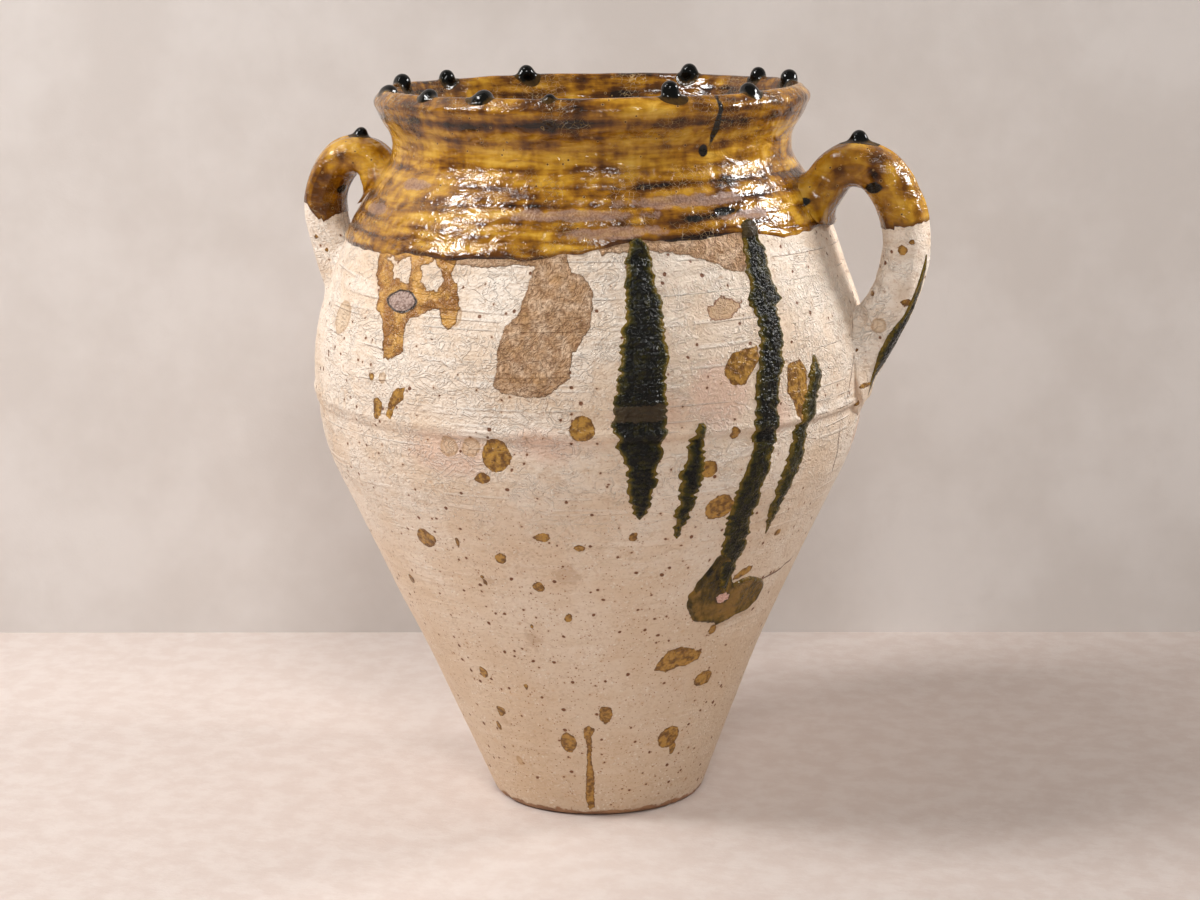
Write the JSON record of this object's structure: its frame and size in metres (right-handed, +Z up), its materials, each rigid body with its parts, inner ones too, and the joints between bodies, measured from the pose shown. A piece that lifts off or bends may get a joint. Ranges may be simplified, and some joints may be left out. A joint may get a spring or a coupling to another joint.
{
  "type": "two-handled confit jar",
  "caption": "Tall earthenware storage jar with a narrow foot, swelling body, short neck, rolled lip and two strap handles; glazed shoulder, dark drips, glaze pellets.",
  "frame": {"origin": "centre of the flat foot, on the surface that the jar stands on", "axes": "+Z up through the mouth; +X towards the handle that springs lower and reaches farther out, the one at the right of the picture; the pictured side faces between -Y and +X"},
  "size_m": [0.3012, 0.26, 0.3451],
  "materials": {
    "slipped_clay": "cream slip over brown earthenware, satin and pitted",
    "amber_glaze": "glossy honey-brown glaze, crackled, dark where it pooled",
    "black_glaze": "glossy brown-black glaze"
  },
  "bodies": {
    "root": {"dipped_glaze": "amber_glaze", "glaze_pool": "black_glaze", "glaze_run_1": "black_glaze", "glaze_run_2": "black_glaze", "glaze_run_3": "black_glaze", "glaze_run_4": "black_glaze", "left_handle": "slipped_clay", "left_handle_pellet": "black_glaze", "lower_body": "slipped_clay", "right_handle": "slipped_clay", "right_handle_pellet": "black_glaze", "rim_pellet_01": "black_glaze", "rim_pellet_02": "black_glaze", "rim_pellet_03": "black_glaze", "rim_pellet_04": "black_glaze", "rim_pellet_05": "black_glaze", "rim_pellet_06": "black_glaze", "rim_pellet_07": "black_glaze", "rim_pellet_08": "black_glaze", "rim_pellet_09": "black_glaze", "rim_pellet_10": "black_glaze", "rim_pellet_11": "black_glaze", "rim_pellet_12": "black_glaze", "upper_body": "slipped_clay"}
  },
  "joints": []
}
